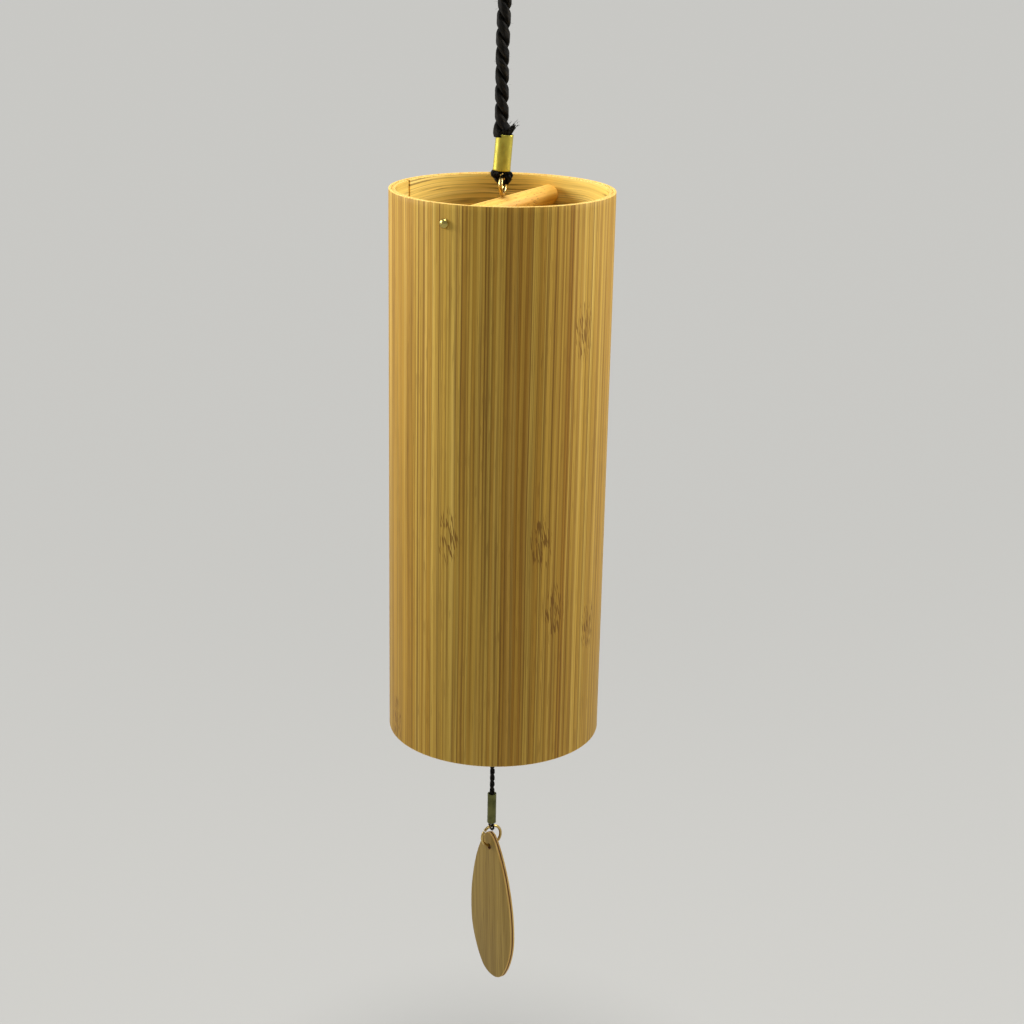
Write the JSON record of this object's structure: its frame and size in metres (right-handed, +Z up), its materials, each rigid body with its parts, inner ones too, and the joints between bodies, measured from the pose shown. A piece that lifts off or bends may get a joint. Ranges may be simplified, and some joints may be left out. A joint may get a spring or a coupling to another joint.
{
  "type": "wind chime",
  "caption": "Bamboo tube wind chime on a black rope, with tone rods and a striker inside it and a leaf-shaped wood sail hanging below",
  "frame": {"origin": "The inside top of the hanging loop, where the hook that holds the chime touches it", "axes": "+Z is up along the tube's axis. X is along the dowel across the tube, with the nail that faces the viewer at -X. Y completes the right-handed frame"},
  "size_m": [0.0662, 0.064, 0.3534],
  "materials": {
    "bamboo_veneer": "satin lacquer",
    "bamboo_lining": "matte",
    "beech": "satin",
    "sail_veneer": "satin lacquer",
    "brass": "polished",
    "steel": "bright",
    "solder": "cast",
    "acrylic": "clear",
    "black_cord": "twisted, matte"
  },
  "bodies": {
    "hanger": {"hanging_loop": "black_cord"},
    "rope": {"hanging_rope": "black_cord"},
    "rope_end": {"rope_ferrule": "brass", "rope_bight": "black_cord"},
    "chime": {"tube_veneer": "bamboo_veneer", "tube_lining": "bamboo_lining", "cross_dowel": "beech", "nail_left": "brass", "nail_right": "brass", "upper_eye": "brass", "lower_eye": "brass", "base_plate": "steel", "tone_rod_1": "steel", "tone_rod_2": "steel", "tone_rod_3": "steel", "tone_rod_4": "steel", "tone_rod_5": "steel", "tone_rod_6": "steel", "tone_rod_7": "steel", "tone_rod_8": "steel", "solder_1": "solder", "solder_2": "solder", "solder_3": "solder", "solder_4": "solder", "solder_5": "solder", "solder_6": "solder", "solder_7": "solder", "solder_8": "solder"},
    "striker_hitch": {"striker_loop": "black_cord", "striker_loop_knot": "black_cord"},
    "striker": {"striker_line": "black_cord", "striker_disc": "acrylic", "striker_knot": "black_cord", "striker_tail": "black_cord"},
    "sail_line": {"sail_cord": "black_cord"},
    "sail_end": {"sail_ferrule": "brass", "sail_bight": "black_cord"},
    "ring": {"jump_ring": "brass"},
    "sail": {"wind_sail": "sail_veneer"}
  },
  "joints": [
    {"name": "rope_swing", "type": "hinge", "parent": "hanger", "child": "rope", "pos_m": [0, 0, -0.0402], "axis": [1, 0, 0], "range_deg": [-30, 30]},
    {"name": "rope_twist", "type": "hinge", "parent": "rope", "child": "rope_end", "pos_m": [0, 0, -0.0829], "axis": [0, 0, 1], "range_deg": [-180, 180]},
    {"name": "chime_swing", "type": "hinge", "parent": "rope_end", "child": "chime", "pos_m": [0, 0, -0.09645], "axis": [-0.2588, 0.9659, 0], "range_deg": [-45, 45]},
    {"name": "striker_hitch_swing", "type": "hinge", "parent": "chime", "child": "striker_hitch", "pos_m": [0, 0, -0.1111], "axis": [1, 0, 0], "range_deg": [-1.7, 1.7]},
    {"name": "striker_swing", "type": "hinge", "parent": "striker_hitch", "child": "striker", "pos_m": [0, 0, -0.12015], "axis": [0, 1, 0], "range_deg": [-1.9, 1.9]},
    {"name": "sail_line_swing", "type": "hinge", "parent": "striker", "child": "sail_line", "pos_m": [0, 0, -0.257], "axis": [1, 0, 0], "range_deg": [-45, 45]},
    {"name": "sail_twist", "type": "hinge", "parent": "sail_line", "child": "sail_end", "pos_m": [0, 0, -0.28715], "axis": [0, 0, 1], "range_deg": [-180, 180]},
    {"name": "ring_swing", "type": "hinge", "parent": "sail_end", "child": "ring", "pos_m": [0, 0, -0.2998], "axis": [0.4818, 0.8763, 0], "range_deg": [-40, 40]},
    {"name": "sail_swing", "type": "hinge", "parent": "ring", "child": "sail", "pos_m": [0, 0, -0.30545], "axis": [-0.8763, 0.4818, 0], "range_deg": [-60, 60]}
  ]
}
